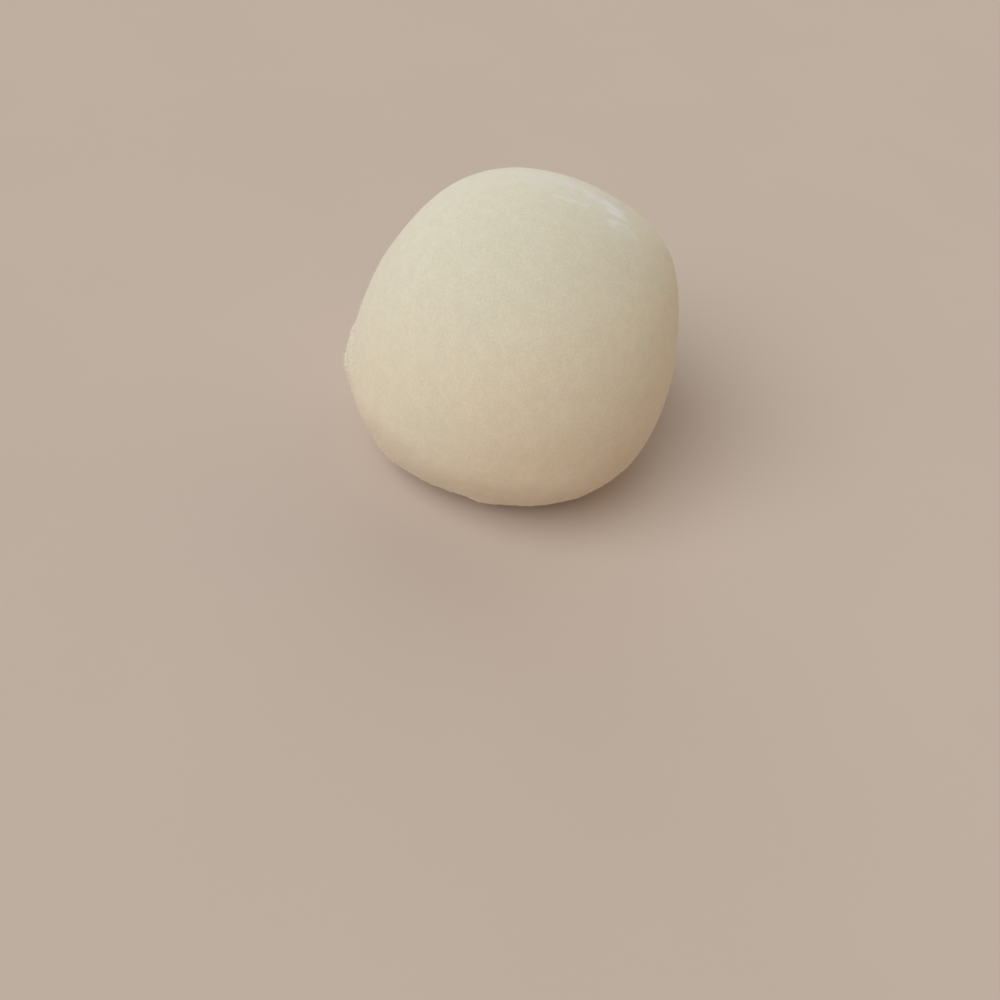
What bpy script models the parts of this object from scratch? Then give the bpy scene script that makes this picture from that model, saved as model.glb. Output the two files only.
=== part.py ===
"""A mochi ice cream: a ball of ice cream wrapped in soft rice dough, resting on its own flat base.

Metres, +Z up. The origin is on the surface it rests on, under the middle of its outline.
"""

import bpy
import bmesh
import random
from math import acos, cos, exp, pi, radians, sin, tan
from mathutils import Vector

# The ball before it was handled: half sizes along X, Y and Z, from its heart
BALL_HALF_SIZE = Vector((0.0234, 0.0229, 0.0239))

# The base that the ball has settled on: how far its flat lies below the heart, and the
# rounded end that the flat trims, which turns up into the flank more tightly
FLAT_DEPTH = 0.0189
BASE_DEPTH = 0.0194
BASE_SHARPNESS = 12

# Swells and dips of the soft dough: turn about Z from +X, tilt above the horizon and half
# width, all in degrees, then the height. The broad ones are the shoulders and flattened
# flanks, and the narrow ones below them are marks of handling.
SWELLS = (
    (26, 38, 15, 0.00140),
    (-33, -31, 21, 0.00110),
    (-147, -28, 24, 0.00135),
    (174, 19, 22, -0.00190),
    (1, 2, 21, -0.00052),
    (70, 4, 22, -0.00080),
    (125, -12, 18, -0.00060),
    (95, 38, 16, 0.00030),
    (-160, -11, 6.5, 0.00026),
    (-167, 2, 6.0, -0.00026),
    (-152, -21, 5.0, -0.00022),
    (-135, -37, 5.0, 0.00030),
    (-110, -43, 5.5, -0.00022),
    (7, 23, 6.0, -0.00012),
    (38, -24, 7.0, 0.00022),
    (84, -33, 7.0, -0.00022),
    (158, -30, 7.0, 0.00020),
    (70, 34, 8.0, -0.00014),
)

# Small lumps where the dough was gathered under, low on the flank
LUMP_COUNT = 70
LUMP_TILT = (-52, -8)
LUMP_HALF_WIDTH = (2.8, 4.6)
LUMP_HEIGHT = (0.00003, 0.00012)
LUMP_SEED = 23

# Squares along each edge of the cube that is blown up into the ball
GRID = 27
RIM_SNAP = 0.00003

DOUGH_COLOUR = (0.72, 0.66, 0.50, 1.0)


def direction(turn, tilt):
    """The unit vector at a turn about Z and a tilt above the horizon, both in degrees."""
    flat = cos(radians(tilt))
    return Vector((flat * cos(radians(turn)), flat * sin(radians(turn)), sin(radians(tilt))))


def clear_scene():
    for thing in list(bpy.data.objects):
        bpy.data.objects.remove(thing, do_unlink=True)


def dough_material():
    material = bpy.data.materials.new("mochi_dough")
    material.use_nodes = True
    shader = material.node_tree.nodes["Principled BSDF"]
    shader.inputs["Base Color"].default_value = DOUGH_COLOUR
    shader.inputs["Roughness"].default_value = 0.62
    shader.inputs["Metallic"].default_value = 0.0
    shader.inputs["Subsurface Weight"].default_value = 0.4
    shader.inputs["Subsurface Scale"].default_value = 0.003
    return material


def small_lumps():
    """The small lumps as swells, spread round the lower flank."""
    draw = random.Random(LUMP_SEED)
    lumps = []
    for _ in range(LUMP_COUNT):
        turn = draw.uniform(-180, 180)
        tilt = draw.uniform(*LUMP_TILT)
        lumps.append((turn, tilt, draw.uniform(*LUMP_HALF_WIDTH), draw.uniform(*LUMP_HEIGHT)))
    return lumps


def settled_radius(towards):
    """Distance from the heart to the plain settled ball's skin along a unit vector."""
    ball = sum((towards[i] / BALL_HALF_SIZE[i]) ** 2 for i in range(3)) ** 0.5
    base = max(-towards.z, 0.0) / BASE_DEPTH
    return (ball ** BASE_SHARPNESS + base ** BASE_SHARPNESS) ** (-1 / BASE_SHARPNESS)


def swell_height(towards, swells):
    """How far the swells and dips move the skin out along a unit vector."""
    height = 0.0
    for middle, half_width, rise in swells:
        angle = acos(max(-1.0, min(1.0, towards.dot(middle))))
        height += rise * exp(-0.5 * (angle / half_width) ** 2)
    return height


def blown_up_cube():
    """A cube of even squares, its corners spread so that they stay even on the ball."""
    mesh = bmesh.new()
    bmesh.ops.create_cube(mesh, size=2.0)
    bmesh.ops.subdivide_edges(mesh, edges=mesh.edges[:], cuts=GRID - 1, use_grid_fill=True)
    for vertex in mesh.verts:
        vertex.co = Vector([tan(c * pi / 4) for c in vertex.co]).normalized()
    return mesh


def shape_skin(mesh):
    swells = [
        (direction(turn, tilt), radians(half_width), rise)
        for turn, tilt, half_width, rise in list(SWELLS) + small_lumps()
    ]
    for vertex in mesh.verts:
        towards = vertex.co.normalized()
        vertex.co = towards * (settled_radius(towards) + swell_height(towards, swells))


def flatten_base(mesh):
    """Cuts the base to one true flat face."""
    level = -FLAT_DEPTH
    for vertex in mesh.verts:
        if abs(vertex.co.z - level) < RIM_SNAP:
            vertex.co.z = level
    bmesh.ops.bisect_plane(
        mesh,
        geom=mesh.verts[:] + mesh.edges[:] + mesh.faces[:],
        dist=1e-7,
        plane_co=(0, 0, level),
        plane_no=(0, 0, -1),
        clear_outer=True,
    )
    rim = [edge for edge in mesh.edges if edge.is_boundary]
    for edge in rim:
        for vertex in edge.verts:
            vertex.co.z = level
    bmesh.ops.holes_fill(mesh, edges=rim, sides=0)


def stand_on_origin(mesh):
    """Moves the ball so that its box is centred over the origin and its base is at Z 0."""
    low = [min(vertex.co[i] for vertex in mesh.verts) for i in range(3)]
    high = [max(vertex.co[i] for vertex in mesh.verts) for i in range(3)]
    middle = Vector(((low[0] + high[0]) / 2, (low[1] + high[1]) / 2, low[2]))
    bmesh.ops.translate(mesh, verts=mesh.verts[:], vec=-middle)


def make_mochi():
    mesh = blown_up_cube()
    shape_skin(mesh)
    flatten_base(mesh)
    stand_on_origin(mesh)
    bmesh.ops.recalc_face_normals(mesh, faces=mesh.faces[:])

    data = bpy.data.meshes.new("mochi")
    mesh.to_mesh(data)
    mesh.free()
    data.shade_smooth()
    data.set_sharp_from_angle(angle=radians(30))
    data.materials.append(dough_material())

    mochi = bpy.data.objects.new("mochi", data)
    bpy.context.scene.collection.objects.link(mochi)
    return mochi


clear_scene()
make_mochi()
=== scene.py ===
"""The looks of a mochi ice cream: a ball wrapped in soft, matte rice dough dusted with starch.

Metres, +Z up, in the frame's own axes. A turn is about Z from +X and a tilt is above the
horizon, both in degrees, seen from the ball's heart. A noise is given as its size, then its seed.
"""

import random
from math import cos, pi, radians, sin, tan

import bmesh
import bpy
import numpy as np
from mathutils import Euler, Matrix, Vector, noise
from mathutils.bvhtree import BVHTree


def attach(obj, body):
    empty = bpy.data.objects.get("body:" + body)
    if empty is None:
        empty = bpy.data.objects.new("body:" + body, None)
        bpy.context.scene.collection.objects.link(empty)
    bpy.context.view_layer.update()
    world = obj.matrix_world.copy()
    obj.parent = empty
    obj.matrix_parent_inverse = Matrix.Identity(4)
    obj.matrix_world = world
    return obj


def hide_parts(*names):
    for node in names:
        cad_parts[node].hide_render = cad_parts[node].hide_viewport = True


HEART = Vector((0.0, 0.0, 0.019))

# Camera: where it stands, how it is held, and how near and far it sees
CAMERA_PLACE = (0.00317, -0.10965, 0.10604)
CAMERA_DOWN = 47.7
CAMERA_ROLL = 13.25
CAMERA_LENS = 34.67
CAMERA_REACH = (0.005, 20.0)

# Skin: squares along each edge of the cube that is blown up, the rounds of smoothing that take
# away the fixed solid's flat facets, the room round each side of the cube on the flat map, and
# the heights where the relief sets in and is full
CELLS = 126
SMOOTH_STEPS = 32
MAP_MARGIN = 0.004
RELIEF_HEIGHTS = (0.0002, 0.0018)

# How far the noises of two seeds lie apart, and how far a mark's ragged noise moves its edge
NOISE_SHIFT = (7.31, 3.17, 5.73)
RAGGED_EDGE = 0.45

# Swells of the soft skin beyond the fixed solid's own: turn, tilt, half width in degrees, height
SWELLS = (
    (-164.0, -8.0, 6.0, 0.00024),
    (-143.0, -27.0, 6.0, -0.00027),
    (-24.0, -16.0, 8.0, -0.00012),
    (93.0, 62.0, 8.0, -0.00012),
    (164.0, 39.0, 7.0, -0.00014),
    (-179.0, 23.0, 5.0, 0.00013),
    (-152.0, -15.0, 4.0, -0.00014),
    (-97.0, -42.0, 3.5, -0.00020),
    (-88.0, -42.0, 3.5, 0.00022),
)

# The low shoulder, where the flank turns in under the ball: turn, tilt and height of its crest,
# then the crest's half width in degrees and its rounds of smoothing
SHOULDER = (
    (-160, -10, 0.00005),
    (-134, -9, 0.00022),
    (-115, -14, 0.00032),
    (-88, -17, 0.00034),
    (-66, -20, 0.00030),
    (-40, -17, 0.00020),
    (-10, -12, 0.00010),
    (40, -14, 0.00020),
    (95, -18, 0.00026),
    (150, -13, 0.00016),
)
SHOULDER_HALF_WIDTH = 9.0
SHOULDER_SMOOTHING = 40

# Soft waves of the dough: size of a wave, and height
WAVES = (
    (0.0100, 0.000070),
    (0.0042, 0.000020),
    (0.0017, 0.000007),
    (0.0008, 0.0000028),
)
WAVES_SEED = 1

# Lumps of the low flank: size of a lump, and height, then how many degrees below the horizon
# they start and are full
LOW_LUMPS = (
    (0.0034, 0.000060),
    (0.0017, 0.000042),
)
LOW_LUMPS_BELOW = (0.0, 24.0)
LOW_LUMPS_SEED = 51

# Dimples: turn, tilt, half width and depth
DIMPLES = (
    (-122.6, 4.9, 0.00075, 0.000075),
    (-105.5, 6.7, 0.00065, 0.000055),
    (-24.0, 8.0, 0.00110, 0.000030),
    (118.0, 12.0, 0.00090, 0.000040),
    (64.0, -9.0, 0.00120, 0.000035),
)

# Pale scuffs beside the crown, raised a little, their whiteness part starch and part painted
# highlight:
# (turn, tilt) of both ends, half width, height and strength, then the noise that makes them ragged,
# and how uneven it makes their height
SCUFFS_AND_HIGHLIGHTS = (
    ((24.5, 68.2), (20.0, 64.6), 0.00110, 0.000024, 0.95),
    ((15.5, 68.4), (14.5, 64.8), 0.00080, 0.000020, 0.90),
    ((0.8, 68.7), (4.5, 65.8), 0.00050, 0.000018, 0.85),
    ((-3.5, 68.0), (-2.0, 66.8), 0.00034, 0.000010, 0.60),
    ((69.4, 76.7), (25.1, 70.6), 0.00130, 0.000008, 0.46),
    ((16.0, 87.0), (7.6, 80.5), 0.00060, 0.000006, 0.50),
    ((2.9, 83.7), (8.8, 77.2), 0.00065, 0.000006, 0.48),
    ((7.5, 62.4), (3.0, 59.0), 0.00090, 0.000006, 0.40),
)
SCUFF_HIGHLIGHT_NOISE = (0.0011, 11)
SCUFF_UNEVENNESS = 0.8

# Thin groove across the scuffed patch: both ends, half width and depth, and how much of the
# scuffs' paleness, part painted highlight, it takes away
GROOVE = ((6.0, 69.4), (10.5, 65.0), 0.00020, 0.000040)
GROOVE_CLEARS = 0.6

# Gathered dough round the base: creases that start beside the base and fade up the flank, how
# far each is out of its even place, and how they waver
CREASE_COUNT = 21
CREASE_DEPTH = (0.00003, 0.00011)
CREASE_HALF_WIDTH = (0.00070, 0.00150)
CREASE_TOP = (0.0040, 0.0090)
CREASE_SLANT = 14.0
CREASE_SEED = 7
CREASE_START = (0.0004, 0.0022)
CREASE_FADE_START = 0.35
CREASE_SHIFT = 0.35
CREASE_NOISE = (0.006, 31)
CREASE_WAVER = 0.05

# The middle of the underside, drawn up to a pinch: what lies lower than this is the underside,
# then the pinch's half width and depth, the folds round it and how unevenly they run
UNDERSIDE_HEIGHT = 0.0001
PINCH_RADIUS = 0.0042
PINCH_DEPTH = 0.0011
PINCH_FOLDS = 9
PINCH_LEVEL = 0.82
PINCH_FOLD_DEPTH = 0.18
PINCH_FOLD_WAVER = 5
PINCH_NOISE = (0.003, 33)
PINCH_WAVER = 0.25

# Thin drifts of starch on the left shoulder: turn, tilt and their half widths in degrees, then
# the noise that breaks them up, how much it leaves covered, its contrast and the thickest drift
DRIFTS = (-162.0, -4.0, 14.0, 13.0)
DRIFT_NOISE = (0.0017, 28)
DRIFT_COVER = 0.42
DRIFT_CONTRAST = 1.2
DRIFT_MOST = 0.9

# Starch caught on the skin: how many degrees below the horizon it starts and is full, its patch
# on the right flank given like the drifts, how much it and the drifts hold, and how patchy it is
CRUST_BELOW = (18.0, 46.0)
CRUST_RIGHT = (-28.0, -22.0, 26.0, 7.0)
CRUST_RIGHT_SHARE = 0.45
CRUST_DRIFT_SHARE = 1.2
CRUST_NOISE = (0.0042, 21)
CRUST_COVER = 0.70
CRUST_CONTRAST = 0.9

# Lumps of the caught starch: size of a lump, and height, and how deep the gaps between them go
CRUST_LUMPS = (
    (0.0022, 0.000085),
    (0.0010, 0.000170),
    (0.0006, 0.000085),
)
CRUST_LUMPS_SEED = 22
CRUST_LUMPS_LOWEST = -0.35

# Loose grains of starch: how many, how large, how far each lies from its clump's middle, how
# jagged and how flat, and how far its middle stands out of the skin for its size
DUST_CLUMPS = 2400
DUST_PER_CLUMP = 4
DUST_HALF_SIZE = (0.000018, 0.000118)
DUST_SPREAD = (0.00008, 0.00060)
DUST_ROUGHNESS = 0.34
DUST_STRETCH = (0.5, 1.3)
DUST_RAISED = 0.2
DUST_SEED = 41

# Where the grains lie: how much they gather where the starch is thickest, how readily they lie on
# the drifts and the scuffs, and the height below which there are none
DUST_GATHERING = 1.5
DUST_ON_DRIFTS = 1.6
DUST_ON_SCUFFS = 0.12
DUST_LOWEST = 0.0006

# The drifts' own grains are larger and drawn out further from the skin: how much of a drift
# makes them so, the size of the others, and how far both kinds are drawn out
DUST_FULL_DRIFT = 2.4
DUST_SMALLER = 0.82
DUST_DRAWN_OUT = (0.5, 3.0)

# The grains on the flat map: grains to a row of it, and the triangles of each grain in columns
# and rows of their own
DUST_PER_ROW = 100
DUST_MAP_CELLS = (5, 4)
DUST_MAP_CORNERS = ((0.15, 0.15), (0.85, 0.15), (0.15, 0.85))

# A broad thin whitening beside the crown, part frost and part painted highlight: both ends and half
# width
FROST_AND_HIGHLIGHT = ((105.0, 74.0), (8.0, 66.0), 0.0034)

# The dough's cooler tone, part fine starch that the skin has kept and part painted light, cooler
# where light from above falls and warmer low on the right: most on the side at this turn and tilt,
# the cosines to it where it starts and is full, and the noise that makes it uneven
BLOOM_AND_LIGHT_SIDE = (150.0, 60.0)
BLOOM_AND_LIGHT_FACING = (-0.60, 0.95)
BLOOM_AND_LIGHT_NOISE = (0.011, 26)
BLOOM_AND_LIGHT_UNEVENNESS = 0.10

# A patch of the same cooler tone low on the left, part starch and part painted light: where, half
# width and strength
BLOOM_AND_LIGHT_PATCH = (-116.0, -4.0)
BLOOM_AND_LIGHT_PATCH_SIZE = 0.0070
BLOOM_AND_LIGHT_PATCH_STRENGTH = 0.42

# Painted shade low on the dough, a darker and warmer band: turn, and tilt of the band's edge, then
# how many degrees below that edge the band starts and is full, and the noise that makes it uneven
SHADE_BAND_EDGE = (
    (-175, -14),
    (-158, -1),
    (-146, -1),
    (-134, -7),
    (-115, -12),
    (-88, -15),
    (-66, -13),
    (-50, -4),
    (-35, 8),
    (-10, 11),
    (20, -6),
    (70, -24),
    (120, -28),
)
SHADE_BAND_BELOW = (-4.0, 26.0)
SHADE_BAND_NOISE = (0.009, 27)
SHADE_BAND_UNEVENNESS = 6.0

# Colours of the dough and of its starch. Some are painted light: the dough's cooler tone towards the
# crown, the painted shade low down, and the painted highlight in the frost and the scuffs
DOUGH = (0.744, 0.632, 0.474)
# Part starch bloom, part painted light: the cooler tone of the dough towards the crown
DOUGH_BLOOMED_SKYLIT = (0.683, 0.644, 0.513)
# Painted shade: the darker, warmer dough of the shaded low band
DOUGH_PAINTED_SHADE = (0.690, 0.558, 0.415)
STARCH = (0.785, 0.735, 0.640)
CAUGHT_STARCH = (0.765, 0.695, 0.575)
# Part frost, part painted highlight
FROST_HIGHLIGHT_WHITE = (0.735, 0.730, 0.685)
# Part starch scuffs, part painted highlight
SCUFF_HIGHLIGHT_WHITE = (0.800, 0.795, 0.770)
GRAIN_WHITE = (0.780, 0.720, 0.610)

# Noise fields of the materials: size, detail and roughness, and how the dashes are stretched
MOTTLE_FIELD = (0.0030, 4.0, 0.55)
FLECK_FIELD = (0.0015, 2.0, 0.5)
POWDER_FIELD = (0.00024, 3.0, 0.75)
DASH_FIELD = (0.00040, 3.0, 0.65)
GRAIN_FIELD = (0.0015, 2.0, 0.55)
FLOOR_FIELD = (0.05, 3.0, 0.55)
STREAK_STRETCH = (0.30, 1.0, 1.0)

# Spans of the noise fields that are stretched to whole spans
WHOLE = (0.0, 1.0)
NOISE_SPAN = (0.3, 0.7)
MOTTLE_SPAN = (0.35, 0.65)
POWDER_SPAN = (0.36, 0.64)
DASH_SPAN = (0.34, 0.66)

# How much flecks and powder darken and lighten the dough, and the least and most of it that fine
# starch, frost with its painted highlight, caught starch and scuffs with their painted highlight
# cover. Powder and flecks break up the last two.
FLECK_SHADE = (0.982, 1.018)
POWDER_SHADE = (0.963, 1.037)
STARCH_COVER = (0.06, 0.14)
FROST_HIGHLIGHT_COVER = (0.25, 0.60)
CAUGHT_POWDER = 0.5
CAUGHT_SPAN = (0.40, 1.40)
CAUGHT_COVER = (0.0, 0.68)
SCUFF_HIGHLIGHT_FLECKS = 0.8
SCUFF_HIGHLIGHT_SPAN = (0.55, 1.40)
SCUFF_HIGHLIGHT_COVER = (0.0, 0.85)

# How dull the dough is, how much duller under caught starch, and its fine bumps, which are
# weaker in some places
DOUGH_ROUGHNESS = (0.58, 0.68)
CAUGHT_ROUGHNESS = 0.20
BUMP_STRENGTH = 0.5
BUMP_HEIGHT = 0.00004
BUMP_MOTTLE = (0.6, 1.0)
DOUGH_SURFACE = {
    "Specular IOR Level": 0.12,
    "Subsurface Weight": 0.5,
    "Subsurface Scale": 0.0028,
    "Subsurface Radius": (1.0, 0.75, 0.45),
    "Sheen Weight": 0.12,
    "Sheen Roughness": 0.45,
}

# The surfaces of the grains and of the floor
GRAIN_ROUGHNESS = (0.75, 0.9)
GRAIN_SURFACE = {"Specular IOR Level": 0.1}
FLOOR_SURFACE = {"Roughness": 0.9, "Specular IOR Level": 0.0}

# The tone of the lit floor, and of the sky as far up as a level view sees it, then the sky
# overhead, and how high a direction points where the one starts and ends to become the other.
# The floor is cloudy by a little, and the sky's light on it is added up in steps.
FLOOR_TONE = np.array((0.515, 0.423, 0.352))
FLOOR_SHADE = (0.992, 1.008)
OVERHEAD_TONE = np.array((0.004, 0.006, 0.004))
SKY_FADE = (0.42, 0.80)
SKY_STEPS = 400

# Soft lamps without falloff: how many degrees wide they are, and name, turn, tilt and strength in
# red, green and blue
LAMP_WIDTH = 50.0
LAMPS = (
    ("key_light", 225, 50, (2.18, 2.29, 2.34)),
    ("back_light", 90, 50, (0.28, 0.30, 0.31)),
    ("low_light", 115, 10, (0.50, 0.55, 0.60)),
    ("side_light", 46, 34, (0.38, 0.31, 0.21)),
)

# The open floor, a little below the ball's base
FLOOR_RADIUS = 3.0
FLOOR_SEGMENTS = 64
FLOOR_DROP = 0.00002


def direction(turn, tilt):
    """The unit vector at a turn and a tilt."""
    flat = cos(radians(tilt))
    return Vector((flat * cos(radians(turn)), flat * sin(radians(turn)), sin(radians(tilt))))


def step_up(value, low, high):
    """0 below low, 1 above high, and a smooth rise between them."""
    part = np.clip((value - low) / (high - low), 0.0, 1.0)
    return part * part * (3.0 - 2.0 * part)


def between(ends, part):
    """The value that lies a part of the way from one end to the other."""
    return ends[0] + (ends[1] - ends[0]) * part


def wander(points, size, seed):
    """Smooth noise from about -1 to 1 at each point, with lumps about size metres across."""
    shift = Vector([part * seed for part in NOISE_SHIFT])
    return np.array([noise.noise(Vector(point) / size + shift) for point in points])


class Surface:
    """An object's surface, met by rays from the heart or found nearest to a place."""

    def __init__(self, thing):
        self.tree = BVHTree.FromPolygons(
            [vertex.co for vertex in thing.data.vertices],
            [face.vertices for face in thing.data.polygons],
        )

    def reach(self, towards):
        """Distance from the heart to the surface along a unit vector."""
        return self.tree.ray_cast(HEART, towards)[3]

    def point(self, turn, tilt):
        """Where the surface is at a turn and a tilt."""
        towards = direction(turn, tilt)
        return HEART + towards * self.reach(towards)

    def nearest(self, place):
        """The nearest place on the surface, and the normal there."""
        found = self.tree.find_nearest(place)
        return np.array(found[0]), np.array(found[1])


def place_on_map(corner, side):
    """Where a corner of one side of the cube goes on the flat map, three sides to a row."""
    axis = max(range(3), key=lambda i: abs(side[i]))
    across, along = [corner[i] for i in range(3) if i != axis]
    number = 2 * axis + (side[axis] > 0)
    column, row = number % 3, number // 3
    room = 1.0 / 3.0 - 2 * MAP_MARGIN
    return (
        column / 3.0 + MAP_MARGIN + room * (across + 1) / 2,
        row / 3.0 + MAP_MARGIN + room * (along + 1) / 2,
    )


def blown_up_cube():
    """A ball of even squares made from a cube, with each side of the cube flat on its map."""
    mesh = bmesh.new()
    bmesh.ops.create_cube(mesh, size=2.0)
    bmesh.ops.subdivide_edges(mesh, edges=mesh.edges[:], cuts=CELLS - 1, use_grid_fill=True)
    layer = mesh.loops.layers.uv.new("OFBake")
    for face in mesh.faces:
        side = face.calc_center_median()
        for corner in face.loops:
            corner[layer].uv = place_on_map(corner.vert.co, side)
    for vertex in mesh.verts:
        vertex.co = Vector([tan(c * pi / 4) for c in vertex.co]).normalized()
    data = bpy.data.meshes.new("dough_skin")
    mesh.to_mesh(data)
    mesh.free()
    return data


def read_places(data):
    flat = np.empty(len(data.vertices) * 3)
    data.vertices.foreach_get("co", flat)
    return flat.reshape(-1, 3)


def write_places(data, places):
    data.vertices.foreach_set("co", places.ravel())
    data.update()


def read_normals(data):
    flat = np.empty(len(data.vertices) * 3, np.float32)
    data.vertex_normals.foreach_get("vector", flat)
    return flat.reshape(-1, 3).astype(float)


def read_edges(data):
    flat = np.empty(len(data.edges) * 2, np.int32)
    data.edges.foreach_get("vertices", flat)
    return flat.reshape(-1, 2)


def smoothed(values, edges, steps):
    """One value for each vertex, averaged with its neighbours' a few times."""
    count = len(values)
    first, second = edges.T
    ties = np.bincount(first, minlength=count) + np.bincount(second, minlength=count)
    for _ in range(steps):
        total = np.bincount(first, values[second], count)
        total += np.bincount(second, values[first], count)
        values = (values + total / ties) / 2
    return values


def fit_to_solid(data, solid):
    """Brings the ball to the fixed solid's surface, without the solid's flat facets."""
    towards = read_places(data)
    reach = np.array([solid.reach(Vector(t)) for t in towards])
    edges = read_edges(data)
    broad = smoothed(reach, edges, SMOOTH_STEPS)
    reach = broad + smoothed(reach - broad, edges, SMOOTH_STEPS)
    places = np.array(HEART) + towards * reach[:, None]
    places[:, 2] = np.maximum(places[:, 2], 0.0)
    write_places(data, places)


class Skin:
    """Places, normals, turns and tilts of the skin's vertices, for relief and masks."""

    def __init__(self, data):
        self.places = read_places(data)
        self.normals = read_normals(data)
        out = self.places - np.array(HEART)
        self.turn = np.degrees(np.arctan2(out[:, 1], out[:, 0]))
        self.tilt = np.degrees(np.arcsin(out[:, 2] / np.linalg.norm(out, axis=1)))
        self.height = self.places[:, 2]
        self.off_axis = np.hypot(self.places[:, 0], self.places[:, 1])
        self.above_base = step_up(self.height, *RELIEF_HEIGHTS)

    def wide_mark(self, turn, tilt, width, height):
        """1 at a turn and a tilt, falling away over half widths in degrees."""
        around = np.exp(-(((self.turn - turn) / width) ** 2))
        up = np.exp(-(((self.tilt - tilt) / height) ** 2))
        return around * up

    def round_mark(self, centre, half_width):
        """1 at a point on the skin, falling away round it."""
        gap = np.linalg.norm(self.places - np.array(centre), axis=1)
        return np.exp(-((gap / half_width) ** 2))

    def long_mark(self, start, end, half_width, raggedness):
        """1 along a line on the skin, falling away beside it and towards its ends.

        The straight line between the ends runs under the round skin, so the skin's rise over it,
        the sagitta, is taken off the gap.
        """
        start, end = np.array(start), np.array(end)
        line = end - start
        length = np.linalg.norm(line)
        along = (self.places - start) @ line / length**2
        nearest = start + np.clip(along, 0.0, 1.0)[:, None] * line
        gap = np.linalg.norm(self.places - nearest, axis=1)
        lift = np.linalg.norm((start + end) / 2 - np.array(HEART))
        sagitta = (length**2 / (8 * lift)) * 4 * np.clip(along * (1 - along), 0.0, 0.25)
        gap = np.sqrt(np.maximum(gap**2 - sagitta**2, 0.0)) * (1 + RAGGED_EDGE * raggedness)
        return np.exp(-((gap / half_width) ** 2))


def swell_relief(skin):
    """The broad swells, falling away with the angle from each one's middle."""
    out = skin.places - np.array(HEART)
    out /= np.linalg.norm(out, axis=1)[:, None]
    relief = np.zeros(len(out))
    for turn, tilt, half_width, height in SWELLS:
        angle = np.degrees(np.arccos(np.clip(out @ np.array(direction(turn, tilt)), -1.0, 1.0)))
        relief += height * np.exp(-0.5 * (angle / half_width) ** 2)
    return relief


def shoulder_relief(skin, edges):
    turns, tilts, heights = zip(*SHOULDER)
    crest = np.interp(skin.turn, turns, tilts, period=360)
    height = np.interp(skin.turn, turns, heights, period=360)
    relief = height * np.exp(-(((skin.tilt - crest) / SHOULDER_HALF_WIDTH) ** 2))
    return smoothed(relief, edges, SHOULDER_SMOOTHING)


def wave_relief(skin):
    return sum(
        height * wander(skin.places, size, WAVES_SEED + number)
        for number, (size, height) in enumerate(WAVES)
    )


def low_lump_relief(skin):
    return step_up(-skin.tilt, *LOW_LUMPS_BELOW) * sum(
        height * wander(skin.places, size, LOW_LUMPS_SEED + number)
        for number, (size, height) in enumerate(LOW_LUMPS)
    )


def dimple_relief(skin, solid):
    return -sum(
        depth * skin.round_mark(solid.point(turn, tilt), half_width)
        for turn, tilt, half_width, depth in DIMPLES
    )


def scuff_and_highlight_marks(skin, solid):
    """Height of the scuffs above the skin, and how strongly each place is whitened: part starch,
    part painted highlight.
    """
    ragged = wander(skin.places, *SCUFF_HIGHLIGHT_NOISE)
    relief = np.zeros(len(skin.places))
    marked = np.zeros(len(skin.places))
    for start, end, half_width, height, strength in SCUFFS_AND_HIGHLIGHTS:
        mark = skin.long_mark(solid.point(*start), solid.point(*end), half_width, ragged)
        relief += height * mark * (1 + SCUFF_UNEVENNESS * ragged)
        marked = np.maximum(marked, strength * mark)
    start, end, half_width, depth = GROOVE
    cut = skin.long_mark(solid.point(*start), solid.point(*end), half_width, ragged)
    return relief - depth * cut, np.clip(marked - GROOVE_CLEARS * cut, 0.0, 1.0)


def drift_mask(skin):
    """The thin drifts of starch on the left shoulder."""
    broken = DRIFT_COVER + DRIFT_CONTRAST * wander(skin.places, *DRIFT_NOISE)
    return skin.wide_mark(*DRIFTS) * np.clip(broken, 0.0, DRIFT_MOST)


def crust_mask(skin):
    """How much starch has caught: low down, in the drifts, and a little on the right flank."""
    caught = step_up(-skin.tilt, *CRUST_BELOW) + CRUST_DRIFT_SHARE * drift_mask(skin)
    caught = caught + CRUST_RIGHT_SHARE * skin.wide_mark(*CRUST_RIGHT)
    patchy = CRUST_COVER + CRUST_CONTRAST * wander(skin.places, *CRUST_NOISE)
    return np.clip(caught * np.clip(patchy, 0.0, 1.0), 0.0, 1.0)


def crust_relief(skin, crust):
    return crust * sum(
        height * np.maximum(wander(skin.places, size, CRUST_LUMPS_SEED + number), CRUST_LUMPS_LOWEST)
        for number, (size, height) in enumerate(CRUST_LUMPS)
    )


def bloom_and_light_mask(skin, solid):
    """How much cooler the skin is, part starch and part painted light: most beside the crown, least
    low on the right.
    """
    out = skin.places - np.array(HEART)
    facing = out @ np.array(direction(*BLOOM_AND_LIGHT_SIDE)) / np.linalg.norm(out, axis=1)
    cooled = step_up(facing + BLOOM_AND_LIGHT_UNEVENNESS * wander(skin.places, *BLOOM_AND_LIGHT_NOISE), *BLOOM_AND_LIGHT_FACING)
    cooled += BLOOM_AND_LIGHT_PATCH_STRENGTH * skin.round_mark(solid.point(*BLOOM_AND_LIGHT_PATCH), BLOOM_AND_LIGHT_PATCH_SIZE)
    return np.clip(cooled, 0.0, 1.0)


def painted_shade_mask(skin):
    """Painted shade low on the skin: none above the band's edge, and more the further below it."""
    turns, tilts = zip(*SHADE_BAND_EDGE)
    edge = np.interp(skin.turn, turns, tilts, period=360)
    edge = edge + SHADE_BAND_UNEVENNESS * wander(skin.places, *SHADE_BAND_NOISE)
    return step_up(edge - skin.tilt, *SHADE_BAND_BELOW)


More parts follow.
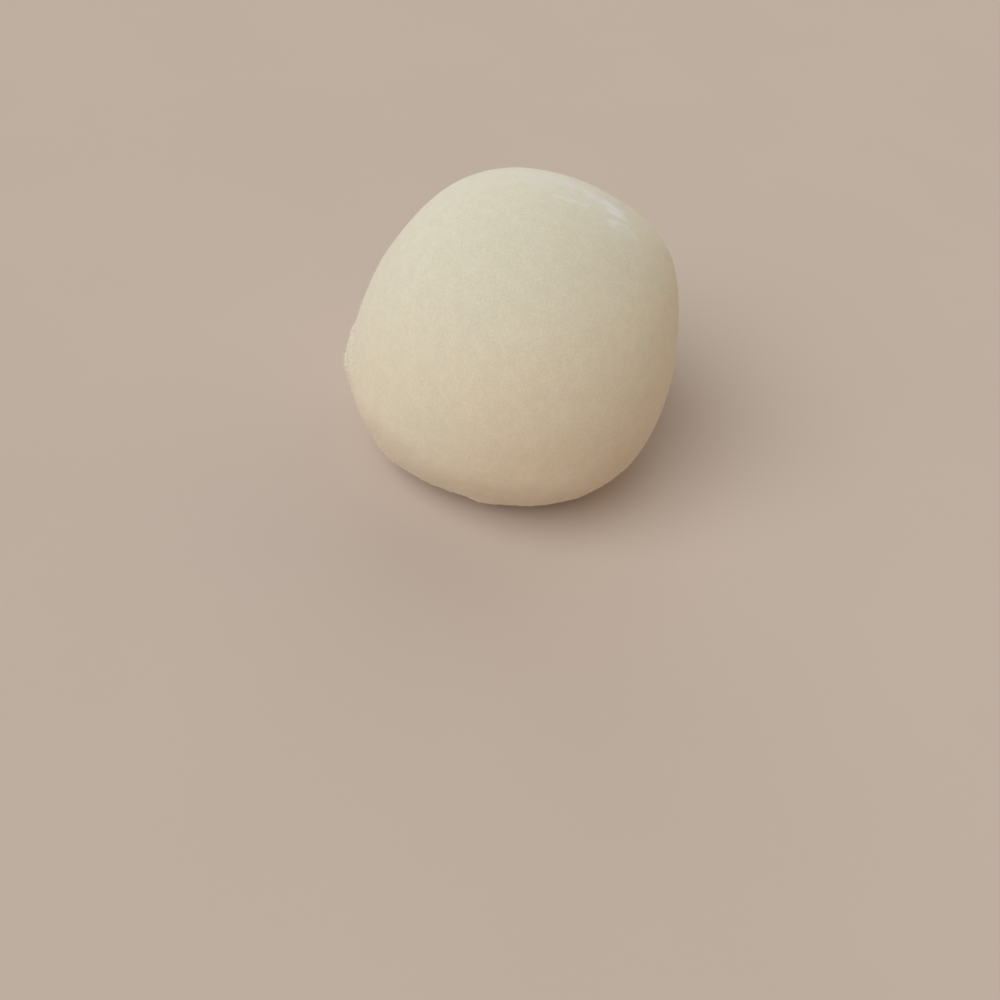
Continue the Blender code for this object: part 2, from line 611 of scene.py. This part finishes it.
def crease_relief(skin):
    """Uneven creases where the dough was drawn in under the ball, softest at their tops."""
    draw = random.Random(CREASE_SEED)
    relief = np.zeros(len(skin.places))
    rise = step_up(skin.height, *CREASE_START)
    around = np.radians(skin.turn) + CREASE_WAVER * wander(skin.places, *CREASE_NOISE)
    for number in range(CREASE_COUNT):
        turn = radians(360.0 * (number + draw.uniform(-CREASE_SHIFT, CREASE_SHIFT)) / CREASE_COUNT)
        slant = radians(draw.uniform(-CREASE_SLANT, CREASE_SLANT))
        depth = draw.uniform(*CREASE_DEPTH)
        half_width = draw.uniform(*CREASE_HALF_WIDTH)
        top = draw.uniform(*CREASE_TOP)
        aside = around - turn - slant * skin.height / top
        aside = (aside + pi) % (2 * pi) - pi
        gap = aside * skin.off_axis / half_width
        fade = rise * (1.0 - step_up(skin.height, CREASE_FADE_START * top, top))
        relief -= depth * fade * np.exp(-(gap**2))
    return relief


def pinch_lift(skin):
    """How far the pinched middle of the base is drawn up, with its small folds."""
    under = skin.height < UNDERSIDE_HEIGHT
    wobble = PINCH_WAVER * wander(skin.places, *PINCH_NOISE)
    around = np.radians(skin.turn) * PINCH_FOLDS + PINCH_FOLD_WAVER * wobble
    folds = PINCH_LEVEL + PINCH_FOLD_DEPTH * np.cos(around)
    spread = skin.off_axis * (1 + wobble) / PINCH_RADIUS
    return under * PINCH_DEPTH * np.exp(-(spread**2)) * folds


def add_attribute(data, name, values):
    layer = data.attributes.new(name, "FLOAT", "POINT")
    layer.data.foreach_set("value", values.astype(np.float32))


def read_values(data, name):
    values = np.empty(len(data.vertices), np.float32)
    data.attributes[name].data.foreach_get("value", values)
    return values.astype(float)


def add_object(name, data, material):
    thing = bpy.data.objects.new(name, data)
    bpy.context.scene.collection.objects.link(thing)
    data.materials.append(material)
    return thing


def make_skin(solid, material):
    data = blown_up_cube()
    fit_to_solid(data, solid)
    skin = Skin(data)
    crust = crust_mask(skin)
    # Part frost, part painted highlight, beside the crown
    frost_and_highlight = skin.long_mark(solid.point(*FROST_AND_HIGHLIGHT[0]), solid.point(*FROST_AND_HIGHLIGHT[1]), FROST_AND_HIGHLIGHT[2], 0.0)
    # Raised scuffs, whitened part by starch and part by painted highlight
    scuff_height, scuff_highlight_strength = scuff_and_highlight_marks(skin, solid)
    relief = swell_relief(skin) + shoulder_relief(skin, read_edges(data)) + wave_relief(skin)
    relief += low_lump_relief(skin) + dimple_relief(skin, solid)
    relief += scuff_height + crust_relief(skin, crust)
    relief = relief * skin.above_base + crease_relief(skin)
    places = skin.places + skin.normals * relief[:, None]
    places[:, 2] = np.maximum(places[:, 2], 0.0)
    places[:, 2] += pinch_lift(skin)
    write_places(data, places)
    add_attribute(data, "crust", crust)
    # Part starch, part painted light: a cooler tone towards the crown
    add_attribute(data, "cool_tint", bloom_and_light_mask(skin, solid))
    # Painted shade, low on the skin
    add_attribute(data, "painted_low_shade", painted_shade_mask(skin))
    add_attribute(data, "frost_and_highlight", frost_and_highlight)
    # Part starch scuffs, part painted highlight
    add_attribute(data, "scuff_and_highlight", scuff_highlight_strength)
    data.shade_smooth()
    return add_object("dough_skin", data, material)


def small_ball():
    """Corners and faces of a ball of 20 triangles, half size 1."""
    mesh = bmesh.new()
    bmesh.ops.create_icosphere(mesh, subdivisions=1, radius=1.0)
    corners = np.array([vertex.co for vertex in mesh.verts])
    faces = np.array([[vertex.index for vertex in face.verts] for face in mesh.faces])
    mesh.free()
    return corners, faces


def dust_weights(skin, crust, scuff_and_highlight, drift):
    """How likely a clump of grains is at each place: where starch has caught, none beneath."""
    weights = crust**DUST_GATHERING + DUST_ON_DRIFTS * drift**2 + DUST_ON_SCUFFS * scuff_and_highlight**3
    weights[skin.height < DUST_LOWEST] = 0.0
    return weights / weights.sum()


def lay_on_map(data, grains, faces_each):
    """Gives every triangle of every grain its own small place on the flat map."""
    across, along = DUST_MAP_CELLS
    number = np.arange(grains * faces_each)
    grain, face = number // faces_each, number % faces_each
    column = (grain % DUST_PER_ROW) * across + face % across
    row = (grain // DUST_PER_ROW) * along + face // across
    rows = along * (grains // DUST_PER_ROW + 1)
    places = np.empty((len(number), 3, 2))
    for corner, (right, up) in enumerate(DUST_MAP_CORNERS):
        places[:, corner, 0] = (column + right) / (across * DUST_PER_ROW)
        places[:, corner, 1] = (row + up) / rows
    layer = data.uv_layers.new(name="OFBake")
    layer.data.foreach_set("uv", places.ravel())


def jagged_grain(draw, ball, drift):
    """The size of one grain, more often small than large, and its corners about its middle."""
    size = between(DUST_HALF_SIZE, draw.random() ** 3)
    size *= between((DUST_SMALLER, 1), drift)
    jagged = draw.uniform(1 - DUST_ROUGHNESS, 1 + DUST_ROUGHNESS, (len(ball), 1))
    shape = ball * jagged * size * draw.uniform(*DUST_STRETCH, 3)
    return size, shape @ np.array(Euler(draw.uniform(0.0, 2 * pi, 3)).to_matrix())


def make_dust(skin_object, material):
    """Clumps of loose starch: jagged grains, each turned its own way and half sunk in the skin."""
    skin = Skin(skin_object.data)
    crust = read_values(skin_object.data, "crust")
    scuff_and_highlight = read_values(skin_object.data, "scuff_and_highlight")
    drift = drift_mask(skin)
    draw = np.random.default_rng(DUST_SEED)
    weights = dust_weights(skin, crust, scuff_and_highlight, drift)
    clumps = draw.choice(len(skin.places), DUST_CLUMPS, p=weights)
    chosen = np.repeat(clumps, DUST_PER_CLUMP)
    spreads = np.repeat(draw.uniform(*DUST_SPREAD, DUST_CLUMPS), DUST_PER_CLUMP)
    drift = np.clip(DUST_FULL_DRIFT * drift, 0.0, 1.0)
    surface = Surface(skin_object)
    ball, faces = small_ball()
    places = np.empty((len(chosen), len(ball), 3))
    for grain, (vertex, spread) in enumerate(zip(chosen, spreads)):
        size, shape = jagged_grain(draw, ball, drift[vertex])
        middle, up = surface.nearest(skin.places[vertex] + draw.normal(0.0, spread, 3))
        drawn_out = between(DUST_DRAWN_OUT, drift[vertex]) * draw.random() ** 2 * (shape @ up)
        places[grain] = middle + shape + (DUST_RAISED * size + drawn_out[:, None]) * up
    places[:, :, 2] = np.maximum(places[:, :, 2], 0.0)
    starts = np.arange(len(chosen))[:, None, None] * len(ball)
    data = bpy.data.meshes.new("starch_dust")
    data.from_pydata(places.reshape(-1, 3).tolist(), [], (faces + starts).reshape(-1, 3).tolist())
    lay_on_map(data, len(chosen), len(faces))
    return add_object("starch_dust", data, material)


def add_node(tree, kind, **settings):
    """A shader node with its settings, which aren't its inputs."""
    made = tree.nodes.new(kind)
    for name, value in settings.items():
        setattr(made, name, value)
    return made


def set_inputs(node, numbers):
    for name, number in numbers.items():
        node.inputs[name].default_value = number


def noise_field(tree, coordinates, size, detail, roughness):
    """Noise from 0 to 1 with lumps about size metres across."""
    field = add_node(tree, "ShaderNodeTexNoise")
    set_inputs(field, {"Scale": 1.0 / size, "Detail": detail, "Roughness": roughness})
    tree.links.new(coordinates, field.inputs["Vector"])
    return field.outputs["Fac"]


def remap(tree, value, span, target):
    """A value's span stretched to another, smoothly and without passing its ends."""
    made = add_node(tree, "ShaderNodeMapRange", interpolation_type="SMOOTHSTEP")
    set_inputs(made, {"From Min": span[0], "From Max": span[1]})
    set_inputs(made, {"To Min": target[0], "To Max": target[1]})
    tree.links.new(value, made.inputs["Value"])
    return made.outputs["Result"]


def combine(tree, operation, first, second):
    """Two values put together by an operation. A plain number is set, and a socket is linked."""
    made = add_node(tree, "ShaderNodeMath", operation=operation)
    for socket, value in zip(made.inputs, (first, second)):
        if isinstance(value, float):
            socket.default_value = value
        else:
            tree.links.new(value, socket)
    return made.outputs["Value"]


def blend_colour(tree, amount, under, over):
    """One colour laid over another by an amount from 0 to 1."""
    made = add_node(tree, "ShaderNodeMix", data_type="RGBA")
    tree.links.new(amount, made.inputs["Factor"])
    for name, colour in (("A", under), ("B", over)):
        socket = [s for s in made.inputs if s.name == name and s.type == "RGBA"][0]
        if isinstance(colour, tuple):
            socket.default_value = (*colour, 1.0)
        else:
            tree.links.new(colour, socket)
    return [s for s in made.outputs if s.type == "RGBA"][0]


def new_material(name):
    material = bpy.data.materials.new(name)
    material.use_nodes = True
    return material, material.node_tree, material.node_tree.nodes["Principled BSDF"]


def read_attribute(tree, name):
    return add_node(tree, "ShaderNodeAttribute", attribute_name=name).outputs["Fac"]


def dough_material():
    """Cream rice dough: matte, faintly see-through, with a bloom of fine starch over it, and painted
    light: cooler towards the crown, painted shade low down, painted highlights by the crown.
    """
    material, tree, shader = new_material("rice_dough_skin")
    where = add_node(tree, "ShaderNodeTexCoord").outputs["Object"]
    streaked = add_node(tree, "ShaderNodeVectorMath", operation="MULTIPLY")
    streaked.inputs[1].default_value = STREAK_STRETCH
    tree.links.new(where, streaked.inputs[0])
    mottle = noise_field(tree, where, *MOTTLE_FIELD)
    fleck = noise_field(tree, where, *FLECK_FIELD)
    powder = remap(tree, noise_field(tree, where, *POWDER_FIELD), POWDER_SPAN, WHOLE)
    dash = noise_field(tree, streaked.outputs["Vector"], *DASH_FIELD)
    dash = remap(tree, dash, DASH_SPAN, WHOLE)
    crust = read_attribute(tree, "crust")
    frost_and_highlight = read_attribute(tree, "frost_and_highlight")
    scuff_and_highlight = read_attribute(tree, "scuff_and_highlight")

    # Part starch bloom, part painted light: cooler dough towards the crown, warmer low on the right
    colour = blend_colour(tree, read_attribute(tree, "cool_tint"), DOUGH, DOUGH_BLOOMED_SKYLIT)
    # Painted shade: the low band darkens and warms the dough
    colour = blend_colour(tree, read_attribute(tree, "painted_low_shade"), colour, DOUGH_PAINTED_SHADE)
    shade = remap(tree, fleck, NOISE_SPAN, FLECK_SHADE)
    shade = combine(tree, "MULTIPLY", shade, remap(tree, powder, WHOLE, POWDER_SHADE))
    uneven = add_node(tree, "ShaderNodeVectorMath", operation="SCALE")
    tree.links.new(colour, uneven.inputs["Vector"])
    tree.links.new(shade, uneven.inputs["Scale"])
    colour = uneven.outputs["Vector"]
    cool_tint = combine(tree, "MULTIPLY", powder, remap(tree, mottle, MOTTLE_SPAN, STARCH_COVER))
    colour = blend_colour(tree, cool_tint, colour, STARCH)
    # Part frost, part painted highlight: whiter beside the crown
    thin = combine(tree, "MULTIPLY", frost_and_highlight, remap(tree, dash, WHOLE, FROST_HIGHLIGHT_COVER))
    colour = blend_colour(tree, thin, colour, FROST_HIGHLIGHT_WHITE)
    caught = combine(tree, "ADD", crust, combine(tree, "MULTIPLY", powder, CAUGHT_POWDER))
    dusted = remap(tree, caught, CAUGHT_SPAN, CAUGHT_COVER)
    colour = blend_colour(tree, dusted, colour, CAUGHT_STARCH)
    # Part starch scuffs, part painted highlight: whiter streaks beside the crown
    ragged = combine(tree, "ADD", scuff_and_highlight, combine(tree, "MULTIPLY", fleck, SCUFF_HIGHLIGHT_FLECKS))
    worn_and_highlit = remap(tree, ragged, SCUFF_HIGHLIGHT_SPAN, SCUFF_HIGHLIGHT_COVER)
    colour = blend_colour(tree, worn_and_highlit, colour, SCUFF_HIGHLIGHT_WHITE)
    tree.links.new(colour, shader.inputs["Base Color"])

    dull = remap(tree, mottle, NOISE_SPAN, DOUGH_ROUGHNESS)
    dull = combine(tree, "ADD", dull, combine(tree, "MULTIPLY", dusted, CAUGHT_ROUGHNESS))
    tree.links.new(dull, shader.inputs["Roughness"])

    fine = add_node(tree, "ShaderNodeBump")
    set_inputs(fine, {"Strength": BUMP_STRENGTH, "Distance": BUMP_HEIGHT})
    grain = combine(tree, "MULTIPLY", powder, remap(tree, mottle, NOISE_SPAN, BUMP_MOTTLE))
    tree.links.new(grain, fine.inputs["Height"])
    tree.links.new(fine.outputs["Normal"], shader.inputs["Normal"])
    set_inputs(shader, DOUGH_SURFACE)
    return material


def dust_material():
    """Dry starch: dull, pale cream, a little uneven from grain to grain."""
    material, tree, shader = new_material("dry_starch")
    where = add_node(tree, "ShaderNodeTexCoord").outputs["Object"]
    patch = noise_field(tree, where, *GRAIN_FIELD)
    colour = blend_colour(tree, remap(tree, patch, NOISE_SPAN, WHOLE), CAUGHT_STARCH, GRAIN_WHITE)
    tree.links.new(colour, shader.inputs["Base Color"])
    tree.links.new(remap(tree, patch, NOISE_SPAN, GRAIN_ROUGHNESS), shader.inputs["Roughness"])
    set_inputs(shader, GRAIN_SURFACE)
    return material


def sky_share():
    """The part of the floor's sky light that comes from below the sky's darker overhead."""
    height = (np.arange(SKY_STEPS) + 0.5) / SKY_STEPS
    return float(np.mean(2 * height * (1.0 - step_up(height, *SKY_FADE))))


def floor_colour():
    """The colour that makes the open floor, as lit here, just as bright as FLOOR_TONE."""
    light = sky_share() * FLOOR_TONE + (1.0 - sky_share()) * OVERHEAD_TONE
    for _, _, tilt, strength in LAMPS:
        light = light + np.array(strength) * sin(radians(tilt)) / pi
    return FLOOR_TONE / light


def floor_material():
    material, tree, shader = new_material("pale_floor")
    where = add_node(tree, "ShaderNodeTexCoord").outputs["Object"]
    cloud = noise_field(tree, where, *FLOOR_FIELD)
    darker, lighter = [tuple(float(c) for c in floor_colour() * part) for part in FLOOR_SHADE]
    colour = blend_colour(tree, remap(tree, cloud, NOISE_SPAN, WHOLE), darker, lighter)
    tree.links.new(colour, shader.inputs["Base Color"])
    set_inputs(shader, FLOOR_SURFACE)
    return material


def make_floor():
    mesh = bmesh.new()
    bmesh.ops.create_circle(mesh, cap_ends=True, segments=FLOOR_SEGMENTS, radius=FLOOR_RADIUS)
    data = bpy.data.meshes.new("floor")
    mesh.to_mesh(data)
    mesh.free()
    floor = add_object("floor", data, floor_material())
    floor.location.z = -FLOOR_DROP


def add_lamp(name, turn, tilt, strength):
    """A wide soft lamp that shines from a turn and a tilt."""
    lamp = bpy.data.lights.new(name, "SUN")
    lamp.angle = radians(LAMP_WIDTH)
    lamp.energy = max(strength)
    lamp.color = [part / max(strength) for part in strength]
    thing = bpy.data.objects.new(name, lamp)
    bpy.context.scene.collection.objects.link(thing)
    thing.rotation_euler = direction(turn, tilt).to_track_quat("Z", "Y").to_euler()


def make_sky():
    """A backdrop of the floor's own tone that dims overhead."""
    world = bpy.data.worlds.new("soft_room")
    world.use_nodes = True
    tree = world.node_tree
    where = add_node(tree, "ShaderNodeTexCoord").outputs["Generated"]
    parts = add_node(tree, "ShaderNodeSeparateXYZ")
    tree.links.new(where, parts.inputs["Vector"])
    overhead = remap(tree, parts.outputs["Z"], SKY_FADE, WHOLE)
    tones = [tuple(float(c) for c in tone) for tone in (FLOOR_TONE, OVERHEAD_TONE)]
    colour = blend_colour(tree, overhead, *tones)
    tree.links.new(colour, tree.nodes["Background"].inputs["Color"])
    bpy.context.scene.world = world


def make_lights():
    for lamp in LAMPS:
        add_lamp(*lamp)
    make_sky()
    bpy.context.scene.view_settings.view_transform = "Standard"


def make_camera():
    camera = bpy.data.objects.new("camera", bpy.data.cameras.new("camera"))
    camera.data.lens = CAMERA_LENS
    camera.data.clip_start, camera.data.clip_end = CAMERA_REACH
    turned = Matrix.Rotation(radians(90 - CAMERA_DOWN), 4, "X")
    turned = turned @ Matrix.Rotation(radians(CAMERA_ROLL), 4, "Z")
    camera.matrix_world = Matrix.Translation(CAMERA_PLACE) @ turned
    bpy.context.scene.collection.objects.link(camera)
    bpy.context.scene.camera = camera


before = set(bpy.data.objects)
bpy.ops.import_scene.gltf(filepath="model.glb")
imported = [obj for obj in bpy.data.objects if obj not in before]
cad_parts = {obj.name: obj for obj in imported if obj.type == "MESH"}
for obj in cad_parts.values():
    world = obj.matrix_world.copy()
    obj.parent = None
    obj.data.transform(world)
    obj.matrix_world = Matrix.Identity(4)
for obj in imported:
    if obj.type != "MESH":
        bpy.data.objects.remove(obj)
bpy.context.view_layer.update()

make_camera()
make_lights()
make_floor()

skin = make_skin(Surface(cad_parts["mochi"]), dough_material())
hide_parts("mochi")
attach(skin, "root")

dust = make_dust(skin, dust_material())
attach(dust, "root")
